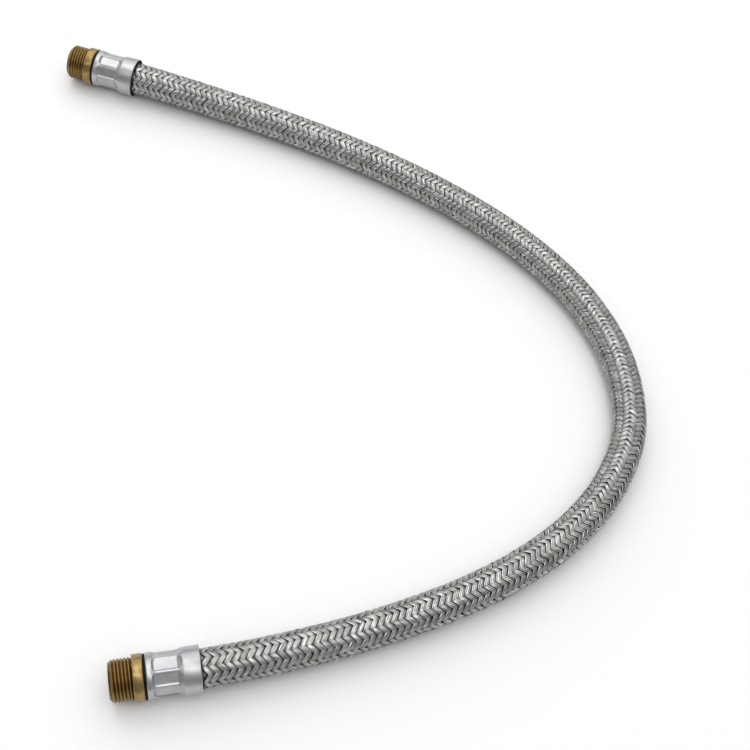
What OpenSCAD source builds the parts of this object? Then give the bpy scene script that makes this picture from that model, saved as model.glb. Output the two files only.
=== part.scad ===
// Braided gas hose with a crimped male fitting at each end, lying in an open curve.
// Millimetres, +Z up. The origin lies on the floor, midway between the two fittings.

/* [Hose] */
// Outside diameter of the wire braid
hose_d = 15.8; // [13.6:0.2:20]
// Bore of the inner tube
bore_d = 10; // [8.5:0.5:10.5]
// Thickness of the braid
braid_t = 0.8; // [0.5:0.1:1.1]
// Height of the hose above the floor where it lies free
floor_gap = 0.1; // [0.05:0.05:0.5]

/* [Thread end] */
// Major diameter of the G 3/8 pipe thread
thread_d = 16.662; // [14:0.001:18]
// Length of the thread, with its chamfer
thread_l = 9; // [6:0.5:14]
// Chamfer at the front of the thread
thread_chamfer = 1.3; // [0.5:0.1:1.5]
// Chamfer around the mouth of the bore
mouth_chamfer = 0.5; // [0.2:0.1:0.8]
// Diameter of the round collar
collar_d = 18.4; // [18.2:0.1:22]
// Length of the collar
collar_l = 4.2; // [2.5:0.1:7]
// Chamfer on both edges of the collar
collar_chamfer = 0.5; // [0.1:0.05:0.6]

/* [Spacer ring] */
// Thickness of the black ring between the collar and the ferrule
spacer_t = 0.8; // [0.5:0.1:1.5]
// How far the ring sits below the collar's rim
spacer_inset = 0.3; // [0:0.05:0.8]

/* [Hose tail] */
// Diameter of the neck that carries the ring and the ferrule
neck_d = 12; // [11.4:0.2:12.8]
// Length of the barbed tail inside the hose
tail_l = 16.5; // [12:0.5:17.5]
// Number of barbs on the tail
barb_count = 5; // [3:1:7]
// Depth of a barb
barb_depth = 0.45; // [0.2:0.05:0.5]
// Wall of the tail under its barbs
tail_wall = 0.9; // [0.7:0.1:1.3]

/* [Ferrule] */
// Length of the ferrule
ferrule_l = 21; // [19:0.5:26]
// Thickness of the flange at its front
flange_t = 1.2; // [0.8:0.1:1.6]
// Wall of the open skirt
skirt_wall = 0.95; // [0.7:0.05:1.3]
// Gap between the skirt and the braid
skirt_gap = 0.75; // [0.5:0.05:1]
// How far the skirt widens towards its open rim
skirt_flare = 0.2; // [0:0.05:0.4]
// Length of the rolled bead at the front
bead_l = 2.4; // [1.8:0.1:2.6]
// Height of the bead above the ribs
bead_rise = 0.5; // [0.2:0.05:0.6]

/* [Crimp] */
// Number of pressed panels around the ferrule
panel_count = 9; // [6:1:10]
// Length of a panel, with its slopes
panel_l = 11.8; // [9:0.2:12.4]
// Length of the slope at the hose end of a panel
panel_slope = 2; // [1:0.1:3]
// Width of the rib left between two panels
rib_w = 1; // [0.8:0.1:1.8]
// How far the ribs lie below the skirt
rib_drop = 0.7; // [0.3:0.05:0.8]
// Wall left under the middle of a panel
panel_wall = 0.95; // [0.8:0.05:1.2]
// How far the crimp squeezes the hose, on the radius
crimp_bite = 0.9; // [0.6:0.05:1]
// Clearance between pieces that are pressed together
fit_gap = 0.03; // [0.01:0.01:0.06]

/* [Hidden] */
$fn = 96;

brass = [0.72, 0.58, 0.33];
bright_alloy = [0.80, 0.81, 0.82];
black_rubber = [0.04, 0.04, 0.04];
steel_wire = [0.60, 0.60, 0.58];

// Radii of the hose, free and under the crimp
hose_r = hose_d / 2;
hose_sides = 12;
crimped_r = hose_r - crimp_bite;
tail_r = bore_d / 2 * cos(180 / hose_sides) - fit_gap;
tail_bore_r = tail_r - barb_depth - tail_wall;
// Where a barb reaches its full height and its foot, in shares of the barbs' pitch
barb_top = 0.1;
barb_foot = 0.9;

// Stations along a fitting, from its front face towards the hose
thread_r = thread_d / 2;
collar_r = collar_d / 2;
collar_end = thread_l + collar_l;
ferrule_start = collar_end + spacer_t;
hose_start = ferrule_start + flange_t;
tail_end = hose_start + tail_l;
rim = ferrule_start + ferrule_l;
bead_end = ferrule_start + bead_l;
panel_end = bead_end + panel_l;

// Radii of the ferrule
crimp_bore_r = crimped_r + fit_gap;
skirt_bore_r = hose_r + skirt_gap;
skirt_r = skirt_bore_r + skirt_wall - skirt_flare;
rim_r = skirt_r + skirt_flare;
rib_r = skirt_r - rib_drop;
bead_r = rib_r + bead_rise;
bead_round = 0.8;
bead_diagonal = bead_round * (1 - cos(45));
rim_round = 0.3;
flange_bore_r = neck_d / 2 + fit_gap;
panel_floor = crimp_bore_r + panel_wall;
panel_pitch = 360 / panel_count;
panel_w = 2 * rib_r * sin(panel_pitch / 2) - rib_w;
// Slope at the bead end of a panel
panel_front_slope = 1.1;
// Corners of a panel's outline, at the bead end and at the hose end
front_corner = 0.9;
scoop_corner = 0.42 * panel_w;
// The bore opens from the crimp to the skirt over this length
bore_step = 2;
// How far a cutting shape reaches past what it cuts
spill = 1;
// The hose springs back to its free size over this length
relax_l = 5;

// Where the fittings lie: front face, and the heading from it into the hose
axis_z = max(rim_r, collar_r);
near_front = [37, -156.5, axis_z];
near_heading = 20;
near_turn = 11;
far_front = [-72.5, 155.5, axis_z];
far_heading = -5;
far_turn = 31;

// The free hose from the far rim to the near rim: x, y, and how far it is still raised
// from the floor towards the height of the fittings, from 0 to 1
route = [
    [-5, 149, 0.4], [20, 145.5, 0.1], [45.5, 141, 0], [72.5, 135, 0], [94.5, 129, 0],
    [117.5, 121.5, 0], [136.5, 114, 0], [156.5, 104.5, 0], [170.5, 96.5, 0], [185, 86.5, 0],
    [198.5, 75, 0], [207.5, 65, 0], [216.5, 52.5, 0], [221.5, 43.5, 0], [227, 29, 0],
    [229.5, 18, 0], [231, 6.5, 0], [230.5, -4, 0], [227.5, -17, 0], [224, -27.5, 0],
    [218.5, -39, 0], [209, -53.5, 0], [201, -63, 0], [188, -76, 0], [173.5, -88, 0],
    [156.5, -100, 0], [136, -112.5, 0], [117.5, -122.5, 0.1], [92, -135, 0.6]
];
rest_z = hose_r + floor_gap;

function heading(a) = [cos(a), sin(a), 0];
function unit(v) = v / norm(v);

// A ring of the hose: centre, direction and outside radius
function end_rings(front, dir) = [
    [front + hose_start * dir, dir, crimped_r],
    [front + panel_end * dir, dir, crimped_r],
    [front + (panel_end + relax_l) * dir, dir, hose_r],
    [front + rim * dir, dir, hose_r]
];
function turned(rings) = [
    for (i = [len(rings) - 1 : -1 : 0]) [rings[i][0], -rings[i][1], rings[i][2]]
];
free_points = [for (p = route) [p.x, p.y, rest_z + p.z * (axis_z - rest_z)]];
far_rings = end_rings(far_front, heading(far_heading));
near_rings = turned(end_rings(near_front, heading(near_heading)));
all_points = concat([far_rings[3][0]], free_points, [near_rings[0][0]]);
free_rings = [
    for (i = [1 : len(all_points) - 2])
        [all_points[i], unit(all_points[i + 1] - all_points[i - 1]), hose_r]
];
hose_rings = concat(far_rings, free_rings, near_rings);

function ring_points(ring, r) =
    let (side = unit(cross([0, 0, 1], ring[1])), up = cross(ring[1], side))
    [
        for (k = [0 : hose_sides - 1])
            let (a = 360 * k / hose_sides - 90)
            ring[0] + r * (cos(a) * side + sin(a) * up)
    ];

// Two triangles for each side between two rings; the inner wall is wound the other way
function wall_faces(first, rings, inward) = [
    for (i = [0 : rings - 2], k = [0 : hose_sides - 1])
        let (
            a = first + i * hose_sides + k,
            b = first + i * hose_sides + (k + 1) % hose_sides,
            c = b + hose_sides,
            d = a + hose_sides
        )
        for (t = inward ? [[a, c, b], [a, d, c]] : [[a, b, c], [a, c, d]]) t
];

// The flat ring that closes one end of the tube
function end_faces(outer, inner, back) = [
    for (k = [0 : hose_sides - 1])
        let (
            a = outer + k,
            b = outer + (k + 1) % hose_sides,
            c = inner + (k + 1) % hose_sides,
            d = inner + k
        )
        for (t = back ? [[a, c, b], [a, d, c]] : [[a, b, c], [a, c, d]]) t
];

// A hollow tube through the rings; the radii are lists, one value for each ring
module tube(rings, outer_r, inner_r) {
    n = len(rings);
    points = concat(
        [for (i = [0 : n - 1]) each ring_points(rings[i], outer_r[i])],
        [for (i = [0 : n - 1]) each ring_points(rings[i], inner_r[i])]
    );
    inner_first = n * hose_sides;
    last = (n - 1) * hose_sides;
    polyhedron(
        points,
        concat(
            wall_faces(0, n, false),
            wall_faces(inner_first, n, true),
            end_faces(0, inner_first, true),
            end_faces(last, inner_first + last, false)
        )
    );
}

// Puts a shape that is revolved about Z, front face at zero, onto a fitting's place
module at_end(front, angle) {
    translate(front) rotate([0, 90, angle]) children();
}

// Brass fitting: pipe thread at its major diameter, round collar, neck and barbed tail
module fitting_body() {
    barb_pitch = tail_l / barb_count;
    barb_root = tail_r - barb_depth;
    barbs = [
        for (i = [0 : barb_count - 1])
            let (s = hose_start + i * barb_pitch)
            each [
                [barb_root, s],
                [tail_r, s + barb_top * barb_pitch],
                [barb_root, s + barb_foot * barb_pitch]
            ]
    ];
    rotate_extrude() polygon(concat(
        [
            [tail_bore_r + mouth_chamfer, 0],
            [thread_r - thread_chamfer, 0],
            [thread_r, thread_chamfer],
            [thread_r, thread_l],
            [collar_r - collar_chamfer, thread_l],
            [collar_r, thread_l + collar_chamfer],
            [collar_r, collar_end - collar_chamfer],
            [collar_r - collar_chamfer, collar_end],
            [neck_d / 2, collar_end],
            [neck_d / 2, hose_start]
        ],
        barbs,
        [
            [barb_root, tail_end],
            [tail_bore_r, tail_end],
            [tail_bore_r, mouth_chamfer]
        ]
    ));
}

module spacer_ring() {
    translate([0, 0, collar_end]) difference() {
        cylinder(r = collar_r - spacer_inset, h = spacer_t);
        translate([0, 0, -spill]) cylinder(r = flange_bore_r, h = spacer_t + 2 * spill);
    }
}

// Outline of the ferrule: rolled bead, ribs, step up to the flared skirt, open rim
module ferrule_profile() {
    difference() {
        union() {
            polygon([
                [flange_bore_r, ferrule_start],
                [bead_r - bead_round, ferrule_start],
                [bead_r - bead_diagonal, ferrule_start + bead_diagonal],
                [bead_r, ferrule_start + bead_round],
                [bead_r, bead_end - bead_round / 2],
                [rib_r, bead_end],
                [rib_r, panel_end - panel_slope],
                [skirt_r, panel_end + panel_slope / 4],
                [rim_r, rim - rim_round],
                [rim_r - rim_round, rim],
                [flange_bore_r, rim]
            ]);
            translate([bead_r - bead_round, ferrule_start + bead_round])
                circle(r = bead_round);
        }
        polygon([
            [0, hose_start],
            [crimp_bore_r, hose_start],
            [crimp_bore_r, panel_end],
            [skirt_bore_r, panel_end + bore_step],
            [skirt_bore_r, rim + spill],
            [0, rim + spill]
        ]);
    }
}

// Plan of one die mark: small corners at the bead, large ones at the skirt
module panel_outline() {
    l = panel_l;
    w = panel_w;
    translate([0, front_corner]) square([w, l - front_corner - scoop_corner]);
    translate([front_corner, 0]) square([w - 2 * front_corner, front_corner]);
    translate([scoop_corner, l - scoop_corner]) square([w - 2 * scoop_corner, scoop_corner]);
    for (x = [front_corner, w - front_corner])
        translate([x, front_corner]) circle(r = front_corner);
    for (x = [scoop_corner, w - scoop_corner])
        translate([x, l - scoop_corner]) circle(r = scoop_corner);
}

// Cutter for one panel: its plan, cut by a side view with a flat floor and sloping ends
module panel_cutter() {
    top = rim_r + spill;
    intersection() {
        translate([-panel_w / 2, 0, panel_floor - spill])
            linear_extrude(height = top - panel_floor + 2 * spill) panel_outline();
        rotate([90, 0, 90]) translate([0, 0, -panel_w])
            linear_extrude(height = 2 * panel_w)
                polygon([
                    [panel_front_slope, panel_floor],
                    [panel_l - panel_slope, panel_floor],
                    [panel_l + panel_slope / 2, top],
                    [-panel_front_slope / 2, top]
                ]);
    }
}

module ferrule(turn) {
    difference() {
        rotate_extrude() ferrule_profile();
        for (i = [0 : panel_count - 1])
            rotate([0, 0, turn + i * panel_pitch])
                translate([0, 0, bead_end])
                    rotate([90, 0, 90])
                        panel_cutter();
    }
}

module near_fitting() {
    color(brass) at_end(near_front, near_heading) fitting_body();
}

module far_fitting() {
    color(brass) at_end(far_front, far_heading) fitting_body();
}

module near_spacer_ring() {
    color(black_rubber) at_end(near_front, near_heading) spacer_ring();
}

module far_spacer_ring() {
    color(black_rubber) at_end(far_front, far_heading) spacer_ring();
}

module near_ferrule() {
    color(bright_alloy) at_end(near_front, near_heading) ferrule(near_turn);
}

module far_ferrule() {
    color(bright_alloy) at_end(far_front, far_heading) ferrule(far_turn);
}

module inner_tube() {
    color(black_rubber) tube(
        hose_rings,
        [for (ring = hose_rings) ring[2] - braid_t],
        [for (ring = hose_rings) bore_d / 2]
    );
}

module braid_cover() {
    color(steel_wire) tube(
        hose_rings,
        [for (ring = hose_rings) ring[2]],
        [for (ring = hose_rings) ring[2] - braid_t]
    );
}

near_fitting();
far_fitting();
near_spacer_ring();
far_spacer_ring();
near_ferrule();
far_ferrule();
inner_tube();
braid_cover();
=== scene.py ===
import math

import bpy
import numpy as np
from mathutils import Matrix, Vector


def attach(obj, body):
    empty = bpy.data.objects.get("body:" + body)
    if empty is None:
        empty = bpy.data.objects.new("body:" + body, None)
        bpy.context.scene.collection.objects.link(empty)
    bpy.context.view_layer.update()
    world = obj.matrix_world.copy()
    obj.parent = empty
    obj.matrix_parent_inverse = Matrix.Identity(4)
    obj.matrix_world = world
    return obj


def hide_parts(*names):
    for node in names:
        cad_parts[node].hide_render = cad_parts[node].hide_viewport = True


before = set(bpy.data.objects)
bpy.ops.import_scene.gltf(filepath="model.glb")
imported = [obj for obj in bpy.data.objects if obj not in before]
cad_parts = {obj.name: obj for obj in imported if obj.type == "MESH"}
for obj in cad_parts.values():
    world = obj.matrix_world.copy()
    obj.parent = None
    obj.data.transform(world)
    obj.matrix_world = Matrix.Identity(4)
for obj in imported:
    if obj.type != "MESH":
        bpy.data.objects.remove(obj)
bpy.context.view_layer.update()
mm = 0.001
print("frame loaded:", len(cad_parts), "nodes")


# The camera, and the line that the hose follows

viewpoint = {
    "place": (0.1133, -0.2989, 0.48484),
    "lookDown": 57.5,  # degrees below level
    "roll": 11.5,  # degrees
    "lens": 59.92,  # in millimetres, before a sensor 36 across
}


def addCamera(spec):
    down, roll = math.radians(spec["lookDown"]), math.radians(spec["roll"])
    forward = Vector((0, math.cos(down), -math.sin(down)))
    level, upright = Vector((1, 0, 0)), Vector((0, math.sin(down), math.cos(down)))
    right = math.cos(roll) * level + math.sin(roll) * upright
    up = math.cos(roll) * upright - math.sin(roll) * level
    lens = bpy.data.cameras.new("viewCamera")
    lens.lens = spec["lens"]
    camera = bpy.data.objects.new("viewCamera", lens)
    camera.matrix_world = (
        Matrix.Translation(spec["place"]) @ Matrix((right, up, -forward)).transposed().to_4x4()
    )
    bpy.context.collection.objects.link(camera)
    bpy.context.scene.camera = camera


addCamera(viewpoint)

# Where the fittings lie: the middle of the front face, and the heading from it into the hose
axisHeight = 9.6 * mm
ends = {
    "near": {"front": (37 * mm, -156.5 * mm, axisHeight), "heading": 20, "turn": 11},
    "far": {"front": (-72.5 * mm, 155.5 * mm, axisHeight), "heading": -5, "turn": 31},
}
# Stations along a fitting, from its front face
station = {
    "thread": 9 * mm,
    "collar": 13.2 * mm,
    "ferrule": 14 * mm,
    "hose": 15.2 * mm,
    "bead": 16.4 * mm,
    "panels": 28.2 * mm,
    "tail": 31.7 * mm,
    "rim": 35 * mm,
}
hose = {
    "diameter": 15.8 * mm,
    "bore": 10 * mm,
    "restHeight": 8 * mm,  # of the axis, where the hose lies on the floor
    "crimp": 0.9 * mm,  # how far the ferrule squeezes it, on the radius
    "relax": 5.5 * mm,  # how far past the crimp it takes its full width again
    "spanSteps": 40,  # points of the curve between two points of the route
    "smoothing": 60,  # rounds that even out the curve
}
# The free hose from the far rim to the near one: x, y, and how far it is still raised, 0 to 1
route = [
    (-0.005, 0.149, 0.4), (0.02, 0.1455, 0.1), (0.0455, 0.141, 0), (0.0725, 0.135, 0),
    (0.0945, 0.129, 0), (0.1175, 0.1215, 0), (0.1365, 0.114, 0), (0.1565, 0.1045, 0),
    (0.1705, 0.0965, 0), (0.185, 0.0865, 0), (0.1985, 0.075, 0), (0.2075, 0.065, 0),
    (0.2165, 0.0525, 0), (0.2215, 0.0435, 0), (0.227, 0.029, 0), (0.2295, 0.018, 0),
    (0.231, 0.0065, 0), (0.2305, -0.004, 0), (0.2275, -0.017, 0), (0.224, -0.0275, 0),
    (0.2185, -0.039, 0), (0.209, -0.0535, 0), (0.201, -0.063, 0), (0.188, -0.076, 0),
    (0.1735, -0.088, 0), (0.1565, -0.1, 0), (0.136, -0.1125, 0), (0.1175, -0.1225, 0.1),
    (0.092, -0.135, 0.6),
]


def endMatrix(end):
    # local z runs from the front face into the hose, local x points down
    return (
        Matrix.Translation(end["front"])
        @ Matrix.Rotation(math.radians(end["heading"]), 4, "Z")
        @ Matrix.Rotation(math.radians(90), 4, "Y")
    )


def onAxis(end, distance):
    return np.array(endMatrix(end) @ Vector((0, 0, distance)))


def splineThrough(points, spacing):
    # Catmull-Rom with centripetal spans, then laid out at an even spacing
    points = np.vstack([2 * points[0] - points[1], points, 2 * points[-1] - points[-2]])
    spans = []
    for p0, p1, p2, p3 in zip(points, points[1:], points[2:], points[3:]):
        gaps = [np.linalg.norm(b - a) ** 0.5 for a, b in ((p0, p1), (p1, p2), (p2, p3))]
        t1, t2, t3 = np.cumsum(gaps)
        t = np.linspace(t1, t2, hose["spanSteps"], endpoint=False)[:, None]
        a1 = p0 + (p1 - p0) * t / t1
        a2 = p1 + (p2 - p1) * (t - t1) / (t2 - t1)
        a3 = p2 + (p3 - p2) * (t - t2) / (t3 - t2)
        b1 = a1 + (a2 - a1) * t / t2
        b2 = a2 + (a3 - a2) * (t - t1) / (t3 - t1)
        spans.append(b1 + (b2 - b1) * (t - t1) / (t2 - t1))
    return evenly(np.vstack(spans + [points[-2][None]]), spacing)


def evenly(points, spacing):
    # the same line with its points evenly spaced
    far = np.concatenate([[0], np.cumsum(np.linalg.norm(np.diff(points, axis=0), axis=1))])
    at = np.linspace(0, far[-1], int(far[-1] / spacing) + 1)
    return np.stack([np.interp(at, far, points[:, k]) for k in range(3)], axis=1)


def hoseLine():
    rest = hose["restHeight"]
    free = [(x, y, rest + rise * (axisHeight - rest)) for x, y, rise in route]
    far = [onAxis(ends["far"], station[k]) for k in ("hose", "panels", "rim")]
    near = [onAxis(ends["near"], station[k]) for k in ("rim", "panels", "hose")]
    line = splineThrough(np.array([*far, *free, *near]), mm)
    for _ in range(hose["smoothing"]):
        line[1:-1] = 0.25 * line[:-2] + 0.5 * line[1:-1] + 0.25 * line[2:]
    return evenly(line, mm)


centreline = hoseLine()


# Node trees: one way to write them, for materials and for geometry


class Term:
    # an output socket that takes part in sums as a number does
    def __init__(self, net, socket):
        self.net, self.socket = net, socket

    def math(self, operation, *others):
        return self.net.math(operation, self, *others)

    def __add__(self, other):
        return self.math("ADD", other)

    def __mul__(self, other):
        return self.math("MULTIPLY", other)

    def __sub__(self, other):
        return self.math("SUBTRACT", other)

    def __truediv__(self, other):
        return self.math("DIVIDE", other)

    def __rsub__(self, other):
        return self.net.math("SUBTRACT", other, self)

    def __rtruediv__(self, other):
        return self.net.math("DIVIDE", other, self)

    __radd__, __rmul__ = __add__, __mul__

    def sin(self):
        return self.math("SINE")

    def cos(self):
        return self.math("COSINE")

    def least(self, other):
        return self.math("MINIMUM", other)

    def most(self, other):
        return self.math("MAXIMUM", other)


class Net:
    # a node tree in the making
    def __init__(self, tree):
        self.tree = tree

    def node(self, kind, settings=None, sockets=None, out=0):
        made = self.tree.nodes.new(kind)
        for name, value in (settings or {}).items():
            setattr(made, name, value)
        for name, value in (sockets or {}).items():
            if isinstance(value, Term):
                self.tree.links.new(value.socket, made.inputs[name])
            else:
                made.inputs[name].default_value = value
        if isinstance(out, (tuple, list)):
            return [Term(self, made.outputs[o]) for o in out]
        return Term(self, made.outputs[out]) if len(made.outputs) else made

    def math(self, operation, *terms):
        return self.node("ShaderNodeMath", {"operation": operation}, dict(enumerate(terms)))

    def vector(self, operation, *terms, scale=None):
        sockets = dict(enumerate(terms))
        if scale is not None:
            sockets["Scale"] = scale
        return self.node("ShaderNodeVectorMath", {"operation": operation}, sockets)

    def join(self, x, y, z):
        return self.node("ShaderNodeCombineXYZ", None, {"X": x, "Y": y, "Z": z})

    def split(self, vector):
        return self.node("ShaderNodeSeparateXYZ", None, {0: vector}, ("X", "Y", "Z"))

    def between(self, value, low, high, toLow=0.0, toHigh=1.0, how="SMOOTHSTEP"):
        return self.node(
            "ShaderNodeMapRange",
            {"interpolation_type": how},
            {"Value": value, "From Min": low, "From Max": high, "To Min": toLow, "To Max": toHigh},
        )

    def noise(self, vector, scale, detail=2.0, rough=0.5):
        return self.node(
            "ShaderNodeTexNoise",
            None,
            {"Vector": vector, "Scale": scale, "Detail": detail, "Roughness": rough},
        )


class Finish(Net):
    # a material in the making, on the shader that every new material has
    def __init__(self, name, **fixed):
        self.material = bpy.data.materials.new(name)
        self.material.use_nodes = True
        super().__init__(self.material.node_tree)
        self.shader = self.tree.nodes["Principled BSDF"]
        for name, value in fixed.items():
            self.feed(name, value)

    def feed(self, name, value):
        socket = self.shader.inputs[name.replace("_", " ")]
        if isinstance(value, Term):
            self.tree.links.new(value.socket, socket)
        else:
            socket.default_value = value

    def mix(self, factor, first, second):
        # the colour sockets of this node share their names, so they go by number
        return self.node("ShaderNodeMix", {"data_type": "RGBA"}, {0: factor, 6: first, 7: second}, 2)

    def attribute(self, name, out="Fac"):
        return self.node("ShaderNodeAttribute", {"attribute_name": name}, None, out)

    def place(self):
        return self.node("ShaderNodeTexCoord", None, None, "Object")

    def bump(self, height, strength, distance):
        sockets = {"Height": height, "Strength": strength, "Distance": distance}
        self.feed("Normal", self.node("ShaderNodeBump", None, sockets))


class Shaper(Net):
    # a geometry tree in the making; inputs are (name, kind)
    kinds = {"float": "NodeSocketFloat", "int": "NodeSocketInt", "material": "NodeSocketMaterial"}

    def __init__(self, name, inputs):
        tree = bpy.data.node_groups.new(name, "GeometryNodeTree")
        tree.interface.new_socket(name="Geometry", in_out="INPUT", socket_type="NodeSocketGeometry")
        for title, kind in inputs:
            tree.interface.new_socket(name=title, in_out="INPUT", socket_type=self.kinds[kind])
        tree.interface.new_socket(name="Geometry", in_out="OUTPUT", socket_type="NodeSocketGeometry")
        super().__init__(tree)
        self.entry = tree.nodes.new("NodeGroupInput")

    def input(self, title):
        return Term(self, self.entry.outputs[title])

    def store(self, geometry, name, value, domain="POINT"):
        return self.node(
            "GeometryNodeStoreNamedAttribute",
            {"data_type": "FLOAT", "domain": domain},
            {"Geometry": geometry, "Name": name, "Value": value},
        )

    def named(self, name):
        return self.node("GeometryNodeInputNamedAttribute", {"data_type": "FLOAT"}, {"Name": name})

    def finish(self, geometry, material):
        whole = self.node("GeometryNodeRealizeInstances", None, {"Geometry": geometry})
        painted = self.node("GeometryNodeSetMaterial", None, {"Geometry": whole, "Material": material})
        self.node("NodeGroupOutput", None, {"Geometry": painted})


def shaped(name, carrier, shaper, values):
    # runs a geometry tree on a copy of the carrier mesh and keeps the result as a plain mesh
    worker = bpy.data.objects.new(name + "Worker", carrier)
    bpy.context.collection.objects.link(worker)
    modifier = worker.modifiers.new("shape", "NODES")
    modifier.node_group = shaper.tree
    for item in shaper.tree.interface.items_tree:
        if item.in_out == "INPUT" and item.name in values:
            modifier[item.identifier] = values[item.name]
    worker.update_tag()
    reached = bpy.context.evaluated_depsgraph_get()
    mesh = bpy.data.meshes.new_from_object(worker.evaluated_get(reached), depsgraph=reached)
    worker.modifiers.remove(modifier)
    bpy.data.objects.remove(worker)
    mesh.name = name
    return mesh


def placed(name, mesh, node, matrix=None):
    # the finished piece: its place in its mesh, riding on the root, in the stead of a CAD node
    if matrix is not None:
        mesh.transform(matrix)
    piece = bpy.data.objects.new(name, mesh)
    bpy.context.collection.objects.link(piece)
    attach(piece, "root")
    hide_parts(node)
    return piece


def meshOf(name, points, faces, material=None):
    mesh = bpy.data.meshes.new(name)
    mesh.from_pydata([tuple(p) for p in points], [], [tuple(f) for f in faces])
    if material:
        mesh.materials.append(material)
    return mesh


def smoothTo(mesh, degrees):
    mesh.shade_smooth()
    mesh.set_sharp_from_angle(angle=math.radians(degrees))


def lathe(name, profile, columns, loop=True):
    # rings around z from (radius, z) pairs; the profile goes round with the solid on its left
    turns = np.arange(columns) * 2 * math.pi / columns
    points = [(r * math.cos(a), r * math.sin(a), z) for r, z in profile for a in turns]
    rows = len(profile)
    faces = [
        (
            i * columns + k,
            i * columns + (k + 1) % columns,
            (i + 1) % rows * columns + (k + 1) % columns,
            (i + 1) % rows * columns + k,
        )
        for i in range(rows if loop else rows - 1)
        for k in range(columns)
    ]
    return meshOf(name, points, faces)


def arc(centre, radius, start, end, steps):
    # points on an arc in the (radius, z) plane
    return [
        (centre[0] + radius * math.cos(math.radians(a)), centre[1] + radius * math.sin(math.radians(a)))
        for a in np.linspace(start, end, steps)
    ]


# Finishes: colours are linear, and sizes of patterns are per metre

brassLook = {
    "bare": (0.36, 0.26, 0.108, 1),
    "stained": (0.27, 0.186, 0.073, 1),
    "thread": (0.23, 0.138, 0.042, 1),
    "threadShare": 0.75,
    # near black: painted shade in the thread's roots, and real grime in spots
    "dirtAndRootShade": (0.07, 0.035, 0.01, 1),
    "rootShade": 0.85,
    "dirtInSpots": 0.08,
    "rootRadius": 7.5 * mm,
    "crestRadius": 8.25 * mm,
    "threadEnds": (8.8 * mm, 9.1 * mm),
    "stainSize": 260,
    "grimeSize": 900,
    "turningSize": (3000, 9000),  # across the axis and along it
    "roughness": (0.22, 0.36),
}
alloyLook = {
    "dull": (0.40, 0.405, 0.42, 1),
    "clear": (0.49, 0.49, 0.49, 1),
    # near black: painted shade on the skirt's inner wall
    "inside": (0.03, 0.03, 0.03, 1),
    "wallRadius": (9.22 * mm, 9.34 * mm),
    "insideShadeFrom": (29 * mm, 30 * mm),
    "cloudSize": 180,
    "scuffSize": (600, 2600),  # across the axis and along it
    "roughness": (0.26, 0.4),
}
wireLook = {
    "bright": (0.97, 0.965, 0.935, 1),
    "dull": (0.26, 0.257, 0.25, 1),
    "grey": (0.48, 0.475, 0.46, 1),
    # near black: the colour of the painted shade
    "paintedShade": (0.04, 0.039, 0.037, 1),
    "streakSize": 130,
    "grooveShade": 0.95,
    "edgeShade": 0.75,
    "diveShade": 0.88,
    "roughness": (0.24, 0.42),
}
rubberLook = {"speckSize": 2400, "pale": 1.8, "roughnessSpread": 0.08}


def brassFinish():
    look = brassLook
    made = Finish("turnedBrass", Metallic=1.0)
    # local: across the fitting's own x and y, and along its axis
    x, y, z = made.split(made.attribute("local", "Vector"))
    radius = (x * x + y * y).math("SQRT")
    place = made.place()
    stain = made.noise(place, look["stainSize"], 4, 0.6)
    grime = made.between(made.noise(place, look["grimeSize"], 3, 0.6), 0.35, 0.75)
    onThread = made.between(z, *look["threadEnds"], 1, 0)
    # painted shade: darkens the thread's roots, between its crests
    root = made.between(radius, look["rootRadius"], look["crestRadius"], 1, 0) * onThread
    base = made.mix(made.between(stain, 0.35, 0.68), look["bare"], look["stained"])
    worn = made.mix(onThread * look["threadShare"], base, look["thread"])
    # painted shade in the thread's roots, plus real grime in spots
    dirtAndShade = root * look["rootShade"] + grime * look["dirtInSpots"]
    made.feed("Base Color", made.mix(dirtAndShade, worn, look["dirtAndRootShade"]))
    wide, long = look["turningSize"]
    turning = made.noise(made.join(radius * wide, 0, z * long), 1, 2, 0.6)
    blend = turning * 0.5 + stain * 0.5
    made.feed("Roughness", made.between(blend, 0.3, 0.7, *look["roughness"], "LINEAR"))
    made.bump(turning, 0.25, 0.04 * mm)
    return made.material


def alloyFinish():
    look = alloyLook
    made = Finish("satinAlloy", Metallic=1.0)
    x, y, z = made.split(made.attribute("local", "Vector"))
    cloud = made.noise(made.place(), look["cloudSize"], 4, 0.55)
    wide, long = look["scuffSize"]
    scuff = made.noise(made.join(x * wide, y * wide, z * long), 1, 4, 0.65)
    skin = made.mix(made.between(cloud, 0.3, 0.7), look["dull"], look["clear"])
    # painted shade: the skirt's inner wall is coloured near black
    radius = (x * x + y * y).math("SQRT")
    inside = made.between(radius, *look["wallRadius"], 1, 0) * made.between(z, *look["insideShadeFrom"])
    made.feed("Base Color", made.mix(inside, skin, look["inside"]))
    blend = scuff * 0.6 + cloud * 0.4
    made.feed("Roughness", made.between(blend, 0.3, 0.7, *look["roughness"], "LINEAR"))
    made.bump(scuff, 0.12, 0.05 * mm)
    return made.material


def rubberFinish(name, colour, rough, shine):
    look = rubberLook
    made = Finish(name, Metallic=0.0, Specular_IOR_Level=shine)
    speck = made.noise(made.place(), look["speckSize"], 3, 0.6)
    pale = tuple(c * look["pale"] for c in colour[:3]) + (1,)
    made.feed("Base Color", made.mix(made.between(speck, 0.4, 0.7), colour, pale))
    smooth, coarse = rough - look["roughnessSpread"], rough + look["roughnessSpread"]
    made.feed("Roughness", made.between(speck, 0.3, 0.7, smooth, coarse, "LINEAR"))
    made.bump(speck, 0.2, 0.05 * mm)
    return made.material


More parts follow.
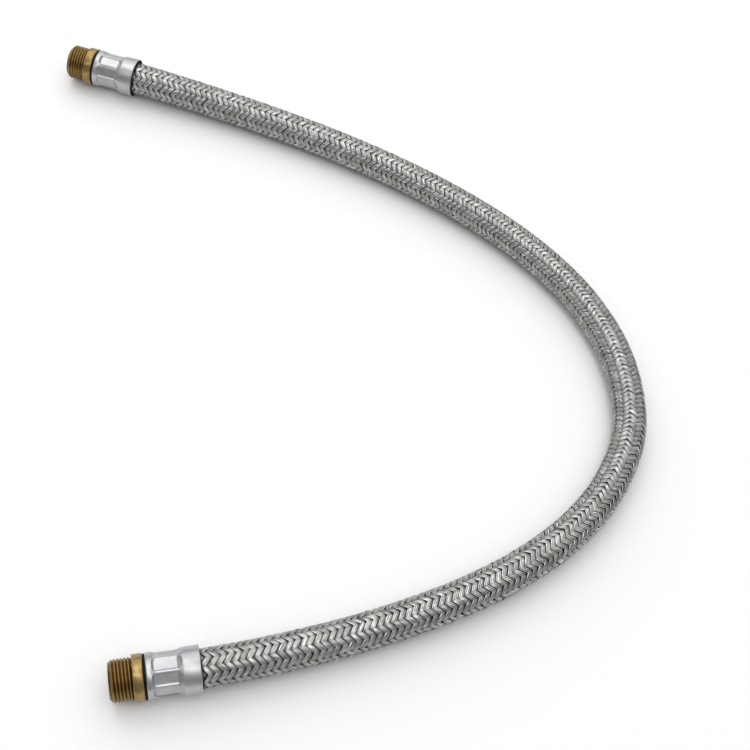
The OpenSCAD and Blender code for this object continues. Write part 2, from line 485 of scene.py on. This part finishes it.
def wireFinish():
    look = wireLook
    made = Finish("steelWire", Metallic=1.0)
    tone = made.attribute("tone")
    # lines along the wires of a bundle
    across = made.attribute("across")
    lines = made.attribute("own") + across * 3
    streak = made.noise(made.join(lines, made.attribute("reach") * look["streakSize"], 0), 1, 2, 0.6)
    light = made.mix(made.between(streak, 0.4, 0.62), look["bright"], look["dull"])
    # painted shade, near black: between the wires, along a bundle's edges, and on the braid's low mark
    # (where a bundle dives, just past the ferrule rims and on the underside)
    toned = made.mix(made.between(tone, 0.3, 0.7), light, look["grey"])
    # dark between the wires, along a bundle's edges and where it dives
    groove = made.between(made.attribute("groove"), 0.3, 1, 0, look["grooveShade"])
    edge = made.between(across * across, 0.66, 1, 0, look["edgeShade"])
    dark = groove.most(edge).most(made.attribute("low") * look["diveShade"])
    made.feed("Base Color", made.mix(dark, toned, look["paintedShade"]))
    blend = tone * 0.5 + streak * 0.5
    made.feed("Roughness", made.between(blend, 0.3, 0.7, *look["roughness"], "LINEAR"))
    return made.material


brassMaterial = brassFinish()
alloyMaterial = alloyFinish()
blackMaterial = rubberFinish("blackRing", (0.005, 0.0045, 0.004, 1), 0.5, 0.1)
tubeMaterial = rubberFinish("blackRubber", (0.018, 0.018, 0.018, 1), 0.6, 0.5)
wireMaterial = wireFinish()
print("finishes made")


# The hose: a rubber tube under a woven wire braid

tube = {"outside": 14.0 * mm, "sides": 24, "spacing": 2 * mm}


def lineMesh(name, points):
    mesh = bpy.data.meshes.new(name)
    mesh.from_pydata([tuple(p) for p in points], [(i, i + 1) for i in range(len(points) - 1)], [])
    return mesh


hoseCarrier = lineMesh("hoseCarrier", centreline)


def crimpedRadius(net, along, total, radius):
    # the hose's radius, less what the ferrules squeeze away near both ends
    fromEnd = along.least(total - along)
    start = station["panels"] - station["hose"]
    return net.between(fromEnd, start, start + hose["relax"], radius - hose["crimp"], radius)


def hoseFrame(net, centre, along):
    # place on the axis, and the directions to its side and away from the floor
    place, tangent = net.node(
        "GeometryNodeSampleCurve",
        {"mode": "LENGTH", "data_type": "FLOAT"},
        {"Curves": centre, "Length": along},
        ("Position", "Tangent"),
    )
    side = net.vector("NORMALIZE", net.vector("CROSS_PRODUCT", (0, 0, 1), tangent))
    return place, side, net.vector("CROSS_PRODUCT", tangent, side)


def tubeShaper():
    net = Shaper(
        "rubberTube",
        [("Radius", "float"), ("Spacing", "float"), ("Sides", "int"), ("Material", "material")],
    )
    centre = net.node("GeometryNodeMeshToCurve", None, {"Mesh": net.input("Geometry")})
    total = net.node("GeometryNodeCurveLength", None, {"Curve": centre})
    path = net.node(
        "GeometryNodeResampleCurve",
        {"mode": "LENGTH"},
        {"Curve": centre, "Length": net.input("Spacing")},
    )
    along = net.node("GeometryNodeSplineParameter", None, None, "Length")
    ring = net.node(
        "GeometryNodeCurvePrimitiveCircle",
        {"mode": "RADIUS"},
        {"Resolution": net.input("Sides"), "Radius": 1.0},
    )
    radius = crimpedRadius(net, along, total, net.input("Radius"))
    skin = net.node(
        "GeometryNodeCurveToMesh", None, {"Curve": path, "Profile Curve": ring, "Scale": radius}
    )
    net.finish(skin, net.input("Material"))
    return net


def wallOf(mesh, thickness):
    # a closed wall from an open skin, growing inwards
    worker = bpy.data.objects.new("wallWorker", mesh)
    bpy.context.collection.objects.link(worker)
    wall = worker.modifiers.new("wall", "SOLIDIFY")
    wall.thickness, wall.offset = thickness, -1
    reached = bpy.context.evaluated_depsgraph_get()
    done = bpy.data.meshes.new_from_object(worker.evaluated_get(reached), depsgraph=reached)
    bpy.data.objects.remove(worker)
    return done


tubeSkin = shaped(
    "innerTube",
    hoseCarrier,
    tubeShaper(),
    {
        "Radius": tube["outside"] / 2,
        "Spacing": tube["spacing"],
        "Sides": tube["sides"],
        "Material": tubeMaterial,
    },
)
tubeWall = (tube["outside"] - hose["bore"]) / 2 - hose["crimp"]
innerTube = placed("innerTube", wallOf(tubeSkin, tubeWall), "inner_tube")
smoothTo(innerTube.data, 40)
print("inner tube:", len(innerTube.data.polygons), "faces")

braid = {
    "carriers": 28,  # half of them wind to each side
    "lay": 41.3 * mm,  # length of hose for one turn of a bundle
    # the braid is pushed together in the bend: where, along the hose, and by how much
    "bunchStart": 125 * mm,
    "bunchEnd": 475 * mm,
    "bunch": 49 * mm,
    "wires": 3,  # side by side in a bundle
    "bundleWidth": 2.3 * mm,
    "waist": 0.15,  # how much narrower a bundle is where it dives
    "wireHeight": 0.42 * mm,
    # a bundle's section, in wire heights from its line
    "crest": 0.68,
    "valley": 0.08,
    "back": 0.5,
    "sunk": 0.72,  # the line's depth under the hose's own diameter
    "crown": 0.09 * mm,  # how far the outer wires of a bundle drop below its middle
    "rise": 0.32 * mm,  # of a bundle over and under the middle of the braid
    "spacing": 0.64 * mm,  # between the rings of a bundle, along the hose
    "wander": 0.09,  # around the hose, in radians
    "wanderRate": 60,  # how quickly each of these changes along the hose, per metre
    "tilt": 0.5,  # of a bundle about its own line, in radians
    "tiltRate": 330,
    "toneRate": 160,
    "ruffle": 0.2 * mm,  # how unevenly the single wires stand up
    "ruffleRate": 260,
    "ruffleSpots": 1100,
    # how far apart two bundles, and the two directions, lie in the noise that makes them differ
    "bundleStep": 3.7,
    "directionStep": 91.3,
    "seed": 7,
    # painted shade: where the wave counts as down and as up, how far past a rim, and low on the hose
    "dive": (-0.45, 0.5),
    "mouthShade": (0.2 * mm, 1.5 * mm),
    "underside": (-0.75, -0.15),
    "undersideShade": 0.5,
}


def beforeBunching(net, along):
    # how far along the straight hose a ring of the braid was, before the bend pushed it together
    start, end, whole = (net.input(name) for name in ("Bunch Start", "Bunch End", "Bunch"))
    return along + net.between(along, start, end, 0.0, whole, "SMOOTHERSTEP")


def braidShaper():
    net = Shaper(
        "wovenBraid",
        [
            ("Bundles", "int"), ("First", "int"), ("Around", "int"), ("Direction", "float"),
            ("Lay", "float"), ("Bunch Start", "float"), ("Bunch End", "float"), ("Bunch", "float"),
            ("Middle Radius", "float"), ("Rise", "float"), ("Waist", "float"), ("Wires", "int"),
            ("Bundle Width", "float"), ("Wire Height", "float"), ("Crown", "float"),
            ("Spacing", "float"), ("Wander", "float"), ("Tilt", "float"), ("Ruffle", "float"),
            ("Seed", "float"), ("Material", "material"),
        ],
    )
    take = net.input
    centre = net.node("GeometryNodeMeshToCurve", None, {"Mesh": take("Geometry")})
    total = net.node("GeometryNodeCurveLength", None, {"Curve": centre})
    steps = (total / take("Spacing")).math("ROUND")
    one = net.node(
        "GeometryNodeResampleCurve",
        {"mode": "COUNT"},
        {"Curve": net.node("GeometryNodeCurvePrimitiveLine"), "Count": steps + 1},
    )
    copies, copyIndex = net.node(
        "GeometryNodeDuplicateElements",
        {"domain": "SPLINE"},
        {"Geometry": one, "Amount": take("Bundles")},
        ("Geometry", "Duplicate Index"),
    )
    numbered = net.store(copies, "bundle", copyIndex + take("First"), "CURVE")
    number = net.named("bundle")
    # by the point's number, which stays the same while the bundle is wound
    along = net.node("GeometryNodeSplineParameter", None, None, "Index") / steps * total
    place, side, out = hoseFrame(net, centre, along)
    # slow wandering of a bundle around the hose, its own for every bundle and direction
    own = (
        number * braid["bundleStep"] + take("Direction") * braid["directionStep"] + take("Seed")
    )
    drift = net.noise(net.join(own, along * braid["wanderRate"], 0), 1, 1) - 0.5
    unbent = beforeBunching(net, along)
    crowding = (beforeBunching(net, along + mm) - unbent) / mm
    angle = (
        number * (2 * math.pi) / take("Around")
        + take("Direction") * unbent * (2 * math.pi) / take("Lay")
        + drift * take("Wander") * 2
    )
    # two bundles over, two under: rows that follow the hose
    wave = (angle * take("Around") / 2).sin() * take("Direction")
    # flat where it is up or down, and steep between the two
    height = wave * 1.5 - wave * wave * wave * 0.5
    radius = crimpedRadius(net, along, total, take("Middle Radius")) + height * take("Rise")
    outward = net.vector(
        "ADD",
        net.vector("SCALE", side, scale=angle.cos()),
        net.vector("SCALE", out, scale=angle.sin()),
    )
    where = net.vector("ADD", place, net.vector("SCALE", outward, scale=radius))
    wound = net.node("GeometryNodeSetPosition", None, {"Geometry": numbered, "Position": where})
    toned = net.store(wound, "tone", net.noise(net.join(own * 5, along * braid["toneRate"], 3), 1, 2))
    counted = net.store(net.store(toned, "reach", along), "own", own * 5)
    # painted shade, kept as low: dark where a bundle dives and where it comes out of the ferrules
    dive = net.between(wave, *braid["dive"], 1, 0)
    shadeFrom, shadeTo = (station["rim"] - station["hose"] + past for past in braid["mouthShade"])
    mouth = net.between(along.least(total - along), shadeFrom, shadeTo, 1, 0)
    # and dull along the underside, which lies in its own shadow
    under = net.between(angle.sin(), *braid["underside"], braid["undersideShade"], 0)
    lowered = net.store(counted, "low", dive.most(mouth).most(under))
    upright = net.node(
        "GeometryNodeSetCurveNormal", {"mode": "FREE"}, {"Curve": lowered, "Normal": outward}
    )
    rocking = net.noise(net.join(own * 2, along * braid["tiltRate"], 7), 1, 1) - 0.5
    rocked = net.node(
        "GeometryNodeSetCurveTilt", None, {"Curve": upright, "Tilt": rocking * take("Tilt") * 2}
    )
    # a bundle's section: crests and valleys of its wires on a flat back
    last = take("Wires") * 2
    flat = net.node(
        "GeometryNodeResampleCurve",
        {"mode": "COUNT"},
        {"Curve": net.node("GeometryNodeCurvePrimitiveLine"), "Count": last + 1},
    )
    index = net.node("GeometryNodeInputIndex")
    crest = index.math("MODULO", 2)
    corner = index.math("COMPARE", 0, 0.5).most(index.math("COMPARE", last, 0.5))
    across = index / last * 2 - 1
    lift = (crest * braid["crest"] + braid["valley"]) * (1 - corner) - braid["back"] * corner
    grooved = net.store(net.store(flat, "groove", 1 - crest), "across", across)
    section = net.node(
        "GeometryNodeSetPosition",
        None,
        {
            "Geometry": grooved,
            "Position": net.join(
                lift * take("Wire Height") - across * across * take("Crown"),
                across * take("Bundle Width") / 2,
                0,
            ),
        },
    )
    closed = net.node("GeometryNodeSetSplineCyclic", None, {"Geometry": section, "Cyclic": True})
    # a bundle is narrower where the braid is pushed together, and where it dives
    waist = net.between(wave, 0.0, 0.95, 1 - take("Waist"), 1.0, "LINEAR")
    bundles = net.node(
        "GeometryNodeCurveToMesh",
        None,
        {
            "Curve": rocked,
            "Profile Curve": closed,
            "Scale": crowding.math("POWER", -0.5) * waist,
            "Fill Caps": True,
        },
    )
    spot = net.vector("SCALE", net.node("GeometryNodeInputPosition"), scale=float(braid["ruffleSpots"]))
    wire = net.named("own") + net.named("across") * 3
    lines = net.join(wire, net.named("reach") * braid["ruffleRate"], 9)
    uneven = net.noise(lines, 1, 2, 0.6) * 0.6 + net.noise(spot, 1, 2, 0.6) * 0.4 - 0.5
    ruffled = net.node(
        "GeometryNodeSetPosition",
        None,
        {
            "Geometry": bundles,
            "Offset": net.vector(
                "SCALE", net.node("GeometryNodeInputNormal"), scale=uneven * take("Ruffle") * 2
            ),
        },
    )
    net.finish(ruffled, take("Material"))
    return net


braidTree = braidShaper()


def braidPart(name, direction, first, count):
    around = braid["carriers"] // 2
    mesh = shaped(
        name,
        hoseCarrier,
        braidTree,
        {
            "Bundles": count, "First": first, "Around": around, "Direction": float(direction),
            "Lay": braid["lay"], "Bunch Start": braid["bunchStart"], "Bunch End": braid["bunchEnd"],
            "Bunch": braid["bunch"],
            "Middle Radius": hose["diameter"] / 2 - braid["rise"] - braid["wireHeight"] * braid["sunk"],
            "Rise": braid["rise"], "Waist": braid["waist"], "Wires": braid["wires"],
            "Bundle Width": braid["bundleWidth"], "Wire Height": braid["wireHeight"],
            "Crown": braid["crown"], "Spacing": braid["spacing"],
            "Wander": braid["wander"], "Tilt": braid["tilt"], "Ruffle": braid["ruffle"],
            "Seed": float(braid["seed"]), "Material": wireMaterial,
        },
    )
    mesh.shade_smooth()
    return placed(name, mesh, "braid_cover")


braidParts = [
    braidPart("braidRightA", 1, 0, 7),
    braidPart("braidRightB", 1, 7, 7),
    braidPart("braidLeftA", -1, 0, 7),
    braidPart("braidLeftB", -1, 7, 7),
]
print("braid:", [len(p.data.polygons) for p in braidParts], "faces")


# Fittings: turned brass with a rolled thread

fitting = {
    "major": 16.662 * mm,  # G 3/8
    "pitch": 1.337 * mm,
    "depth": 0.52 * mm,  # as the worn, flattened crests leave it
    "flatness": 1.5,  # of the crests; 1 would be a plain wave
    "frontRadius": 7.03 * mm,  # where the front chamfer begins
    "runoutRadius": 7.42 * mm,  # of the relief behind the thread
    "runoutSlope": 1.6,
    "weld": 0.002 * mm,
    "collar": 9.2 * mm,
    "collarEdge": 0.55 * mm,
    "neck": 6 * mm,
    "tail": 4.8 * mm,
    "barbs": 5,
    "barbDepth": 0.45 * mm,
    "barbRise": 0.1,  # of a barb's pitch: where it is highest, and where it has fallen
    "barbFall": 0.9,
    "bore": 3.45 * mm,
    "mouth": 0.5 * mm,
    "columns": 96,
    "stepsPerPitch": 10,
}


def threadShaper():
    net = Shaper(
        "pipeThread",
        [
            ("Major Radius", "float"), ("Depth", "float"), ("Pitch", "float"), ("Length", "float"),
            ("Front Radius", "float"), ("Runout Radius", "float"), ("Columns", "int"),
            ("Steps", "int"), ("Material", "material"),
        ],
    )
    take = net.input
    turns = (take("Length") / take("Pitch")).math("CEIL") + 2
    grid = net.node(
        "GeometryNodeMeshGrid",
        None,
        {
            "Size X": 1.0,
            "Size Y": 1.0,
            "Vertices X": turns * take("Columns") + 1,
            "Vertices Y": take("Steps") + 1,
        },
        "Mesh",
    )
    u, v, _ = net.split(net.node("GeometryNodeInputPosition"))
    turn = (u + 0.5) * turns
    rise = v + 0.5
    z = ((turn - 1 + rise) * take("Pitch")).most(0).least(take("Length"))
    groove = (0.5 + 0.5 * (rise * (2 * math.pi)).cos()).math("POWER", fitting["flatness"])
    wave = take("Major Radius") - take("Depth") * groove
    runout = take("Runout Radius") + (take("Length") - z) * fitting["runoutSlope"]
    radius = wave.least(take("Front Radius") + z).least(runout)
    angle = turn * (2 * math.pi)
    wound = net.node(
        "GeometryNodeSetPosition",
        None,
        {"Geometry": grid, "Position": net.join(angle.cos() * radius, angle.sin() * radius, z)},
    )
    both = net.tree.nodes.new("GeometryNodeJoinGeometry")
    for part in (wound, take("Geometry")):
        net.tree.links.new(part.socket, both.inputs[0])
    merged = net.node(
        "GeometryNodeMergeByDistance",
        None,
        {"Geometry": Term(net, both.outputs[0]), "Distance": fitting["weld"]},
    )
    net.finish(merged, take("Material"))
    return net


def fittingProfile():
    # from the thread's end round the collar, along the barbs and back through the bore
    spec, at = fitting, station
    edge = spec["collarEdge"]
    pitch = (at["tail"] - at["hose"]) / spec["barbs"]
    low = spec["tail"] - spec["barbDepth"]
    barbs = []
    for i in range(spec["barbs"]):
        s = at["hose"] + i * pitch
        top, foot = s + spec["barbRise"] * pitch, s + spec["barbFall"] * pitch
        barbs += [(low, s), (spec["tail"], top), (low, foot)]
    return [
        (spec["runoutRadius"], at["thread"]),
        *arc((spec["collar"] - edge, at["thread"] + edge), edge, -90, 0, 4),
        *arc((spec["collar"] - edge, at["collar"] - edge), edge, 0, 90, 4),
        (spec["neck"], at["collar"]),
        (spec["neck"], at["hose"]),
        *barbs,
        (low, at["tail"]),
        (spec["bore"], at["tail"]),
        (spec["bore"], spec["mouth"]),
        (spec["bore"] + spec["mouth"], 0),
        (spec["frontRadius"], 0),
    ]


def keepLocal(mesh):
    # remembers a turned piece's own coordinates for its finish
    own = mesh.attributes.new("local", "FLOAT_VECTOR", "POINT")
    flat = np.zeros(len(mesh.vertices) * 3, np.float32)
    mesh.vertices.foreach_get("co", flat)
    own.data.foreach_set("vector", flat)


def addFitting(side):
    body = lathe("fittingBody", fittingProfile(), fitting["columns"], loop=False)
    mesh = shaped(
        side + "Fitting",
        body,
        threadTree,
        {
            "Major Radius": fitting["major"] / 2, "Depth": fitting["depth"], "Pitch": fitting["pitch"],
            "Length": station["thread"], "Front Radius": fitting["frontRadius"],
            "Runout Radius": fitting["runoutRadius"], "Columns": fitting["columns"],
            "Steps": fitting["stepsPerPitch"], "Material": brassMaterial,
        },
    )
    keepLocal(mesh)
    smoothTo(mesh, 38)
    return placed(side + "Fitting", mesh, side + "_fitting", endMatrix(ends[side]))


threadTree = threadShaper()
fittings = {side: addFitting(side) for side in ends}
print("fittings:", [len(p.data.polygons) for p in fittings.values()], "faces")


# Spacer rings

spacer = {"radius": 8.9 * mm, "bore": 6.03 * mm, "edge": 0.15 * mm, "columns": 96}


def addSpacer(side):
    edge, r = spacer["edge"], spacer["radius"]
    low, high = station["collar"], station["ferrule"]
    profile = [
        (spacer["bore"], low),
        *arc((r - edge, low + edge), edge, -90, 0, 3),
        *arc((r - edge, high - edge), edge, 0, 90, 3),
        (spacer["bore"], high),
    ]
    mesh = lathe(side + "SpacerRing", profile, spacer["columns"])
    mesh.materials.append(blackMaterial)
    smoothTo(mesh, 50)
    return placed(side + "SpacerRing", mesh, side + "_spacer_ring", endMatrix(ends[side]))


spacers = {side: addSpacer(side) for side in ends}


# Ferrules: rolled bead, pressed panels, open skirt

ferrule = {
    "bead": 9.2 * mm,
    "beadRound": 0.8 * mm,
    "beadFlat": 0.7 * mm,  # where its round back begins, before its end
    "beadFall": 2.4 * mm,  # how softly the ribs come down from it
    "rib": 8.7 * mm,
    "skirt": 9.4 * mm,
    "rim": 9.6 * mm,
    "rimRound": 0.3 * mm,
    "crimpBore": 7.03 * mm,
    "skirtBore": 8.65 * mm,
    "mouthBore": 9.2 * mm,  # the skirt's wall thins towards its rim
    "mouthDepth": 2.5 * mm,
    "mouthEdge": 0.1 * mm,
    "flangeBore": 6.03 * mm,
    "boreStep": 2 * mm,
    "shoulder": 1.2 * mm,  # how far past the panels the outside is drawn
    "shoulderRise": 2.6 * mm,
    "panels": 9,
    "ribWidth": 0.7 * mm,
    "floor": 7.98 * mm,
    # the floor rises over a slope at each end: its length, and how steep it is
    "frontSlope": 0.9 * mm,
    "frontSteep": 0.9,
    "scoopSlope": 2.1 * mm,
    "scoopSteep": 0.5,
    "frontCorner": 1.4 * mm,
    "scoopCorner": 0.84,  # of a panel's half width
    "pressedEdge": 0.4 * mm,
    "lipWidth": 0.5 * mm,
    "lipHeight": 0.05 * mm,
    "outsideFrom": 8 * mm,  # only what lies outside this radius is pressed
    "columns": 252,
    "row": 0.2 * mm,
}


def eased(value):
    # 0 to 1 with a soft start and end
    step = min(max(value, 0), 1)
    return step * step * (3 - 2 * step)


def ferruleProfile():
    spec, at = ferrule, station
    start, bead, panels, rim = at["ferrule"], at["bead"], at["panels"], at["rim"]
    corner = spec["beadRound"]
    outer = [(spec["flangeBore"], start)]
    outer += arc((spec["bead"] - corner, start + corner), corner, -90, 0, 9)
    beadEnd = bead - spec["beadFlat"]
    rows = int((panels + spec["shoulder"] - beadEnd) / spec["row"])
    for z in np.linspace(beadEnd, panels + spec["shoulder"], rows):
        fall = eased((z - beadEnd) / spec["beadFall"])
        rise = eased((z - (panels - spec["scoopSlope"])) / spec["shoulderRise"])
        flare = max(z - panels, 0) / (rim - panels) * (spec["rim"] - spec["skirt"])
        ribs = fall * (spec["rib"] - spec["bead"])
        r = spec["bead"] + ribs + rise * (spec["skirt"] - spec["rib"]) + flare
        outer.append((r, z))
    edge = spec["rimRound"]
    outer += arc((spec["rim"] - edge, rim - edge), edge, 0, 90, 5)
    inner = [
        (spec["mouthBore"], rim - spec["mouthEdge"]),
        (spec["skirtBore"], rim - spec["mouthDepth"]),
        (spec["skirtBore"], panels + spec["boreStep"]),
        (spec["crimpBore"], panels),
        (spec["crimpBore"], at["hose"]),
        (spec["flangeBore"], at["hose"]),
    ]
    return outer + inner


def panelShaper():
    net = Shaper(
        "pressedPanels",
        [
            ("Panels", "int"), ("Turn", "float"), ("Start", "float"), ("Length", "float"),
            ("Half Width", "float"), ("Floor Radius", "float"), ("Front Slope", "float"),
            ("Scoop Slope", "float"), ("Front Corner", "float"), ("Scoop Corner", "float"),
            ("Inner Radius", "float"), ("Material", "material"),
        ],
    )
    take = net.input
    x, y, z = net.split(net.node("GeometryNodeInputPosition"))
    radius = (x * x + y * y).math("SQRT")
    pitch = (2 * math.pi) / take("Panels")
    turned = (y.math("ARCTAN2", x) - take("Turn")) / pitch + 0.5
    angle = (turned.math("FLOORED_MODULO", 1) - 0.5) * pitch
    across = (angle.sin() * radius).math("ABSOLUTE")
    along = z - take("Start")
    # how far inside the pressed outline: a box with its own corner radius at each end
    half = take("Length") / 2
    nearScoop = along.math("GREATER_THAN", half)
    corner = nearScoop * take("Scoop Corner") + (1 - nearScoop) * take("Front Corner")
    pastSide = across - take("Half Width") + corner
    pastEnd = (along - half).math("ABSOLUTE") - half + corner
    squares = pastSide.most(0) * pastSide.most(0) + pastEnd.most(0) * pastEnd.most(0)
    inside = corner - squares.math("SQRT") - pastSide.most(pastEnd).least(0)
    # the die's plane rises at both ends of a panel
    front = (take("Front Slope") - along).most(0) * ferrule["frontSteep"]
    rise = front + (along - take("Length") + take("Scoop Slope")).most(0) * ferrule["scoopSteep"]
    plane = (take("Floor Radius") + rise) / angle.cos()
    pressed = net.between(inside, 0.0, ferrule["pressedEdge"])
    lip = net.between(inside.math("ABSOLUTE"), 0.0, ferrule["lipWidth"], 1, 0) * ferrule["lipHeight"]
    outer = radius.math("GREATER_THAN", take("Inner Radius"))
    target = radius - pressed * (radius - plane).most(0) + lip
    scale = 1 + outer * (target / radius - 1)
    dented = net.node(
        "GeometryNodeSetPosition",
        None,
        {"Geometry": take("Geometry"), "Position": net.join(x * scale, y * scale, z)},
    )
    net.finish(dented, take("Material"))
    return net


def addFerrule(side):
    spec = ferrule
    body = lathe("ferruleBody", ferruleProfile(), spec["columns"])
    halfWidth = spec["rib"] * math.sin(math.pi / spec["panels"]) - spec["ribWidth"] / 2
    mesh = shaped(
        side + "Ferrule",
        body,
        panelTree,
        {
            "Panels": spec["panels"], "Turn": math.radians(ends[side]["turn"]), "Start": station["bead"],
            "Length": station["panels"] - station["bead"], "Half Width": halfWidth,
            "Floor Radius": spec["floor"], "Front Slope": spec["frontSlope"],
            "Scoop Slope": spec["scoopSlope"], "Front Corner": spec["frontCorner"],
            "Scoop Corner": spec["scoopCorner"] * halfWidth, "Inner Radius": spec["outsideFrom"],
            "Material": alloyMaterial,
        },
    )
    keepLocal(mesh)
    smoothTo(mesh, 50)
    return placed(side + "Ferrule", mesh, side + "_ferrule", endMatrix(ends[side]))


panelTree = panelShaper()
ferrules = {side: addFerrule(side) for side in ends}
print("ferrules:", [len(p.data.polygons) for p in ferrules.values()], "faces")


tuple(onAxis(ends["near"], station["rim"]))


# Floor, lights and world

studio = {
    "floorSize": 6.0,
    "floorTone": 0.99,
    # three long strip lights: behind the hose, over it and a little before it
    "strips": {
        "backStrip": {"place": (-0.2, 0.75, 0.78), "size": (1.5, 1.16), "power": 3.9},
        "topStrip": {"place": (0.0, -0.05, 2.2), "size": (3.0, 0.45), "power": 8.0},
        "frontStrip": {"place": (0.09, -0.24, 0.66), "size": (1.6, 0.07), "power": 0.65},
    },
    "target": (0.08, 0, 0),
    # the world is dim low behind the viewer and bright high at the back
    "dim": 0.38,
    "bright": 0.93,
    "upShare": 0.9,
    "backShare": 0.5,
    "brightens": (0.1, 1.03),  # from and to, on the sum of both shares
}


def addFloor():
    half = studio["floorSize"] / 2
    corners = [(-half, -half, 0), (half, -half, 0), (half, half, 0), (-half, half, 0)]
    paper = Finish("paleFloor", Roughness=0.9)
    paper.feed("Base Color", (*[studio["floorTone"]] * 3, 1))
    floor = bpy.data.objects.new("floor", meshOf("floor", corners, [(0, 1, 2, 3)], paper.material))
    bpy.context.collection.objects.link(floor)


def addStrip(name, place, size, power):
    lamp = bpy.data.lights.new(name, "AREA")
    lamp.shape, lamp.energy = "RECTANGLE", power
    lamp.size, lamp.size_y = size
    holder = bpy.data.objects.new(name, lamp)
    holder.location = place
    backwards = Vector(place) - Vector(studio["target"])
    holder.rotation_euler = backwards.to_track_quat("Z", "Y").to_euler()
    bpy.context.collection.objects.link(holder)


def addWorld():
    world = bpy.data.worlds.new("studioWorld")
    world.use_nodes = True
    net = Net(world.node_tree)
    sky = world.node_tree.nodes["Background"]
    _, back, up = net.split(net.node("ShaderNodeTexCoord", None, None, "Generated"))
    share = up * studio["upShare"] + back * studio["backShare"]
    level = net.between(share, *studio["brightens"], studio["dim"], studio["bright"], "LINEAR")
    net.tree.links.new(level.socket, sky.inputs["Strength"])
    sky.inputs["Color"].default_value = (1, 1, 1, 1)
    bpy.context.scene.world = world


addFloor()
for name, strip in studio["strips"].items():
    addStrip(name, strip["place"], strip["size"], strip["power"])
addWorld()
bpy.context.scene.view_settings.view_transform = "Standard"
print("stage set")
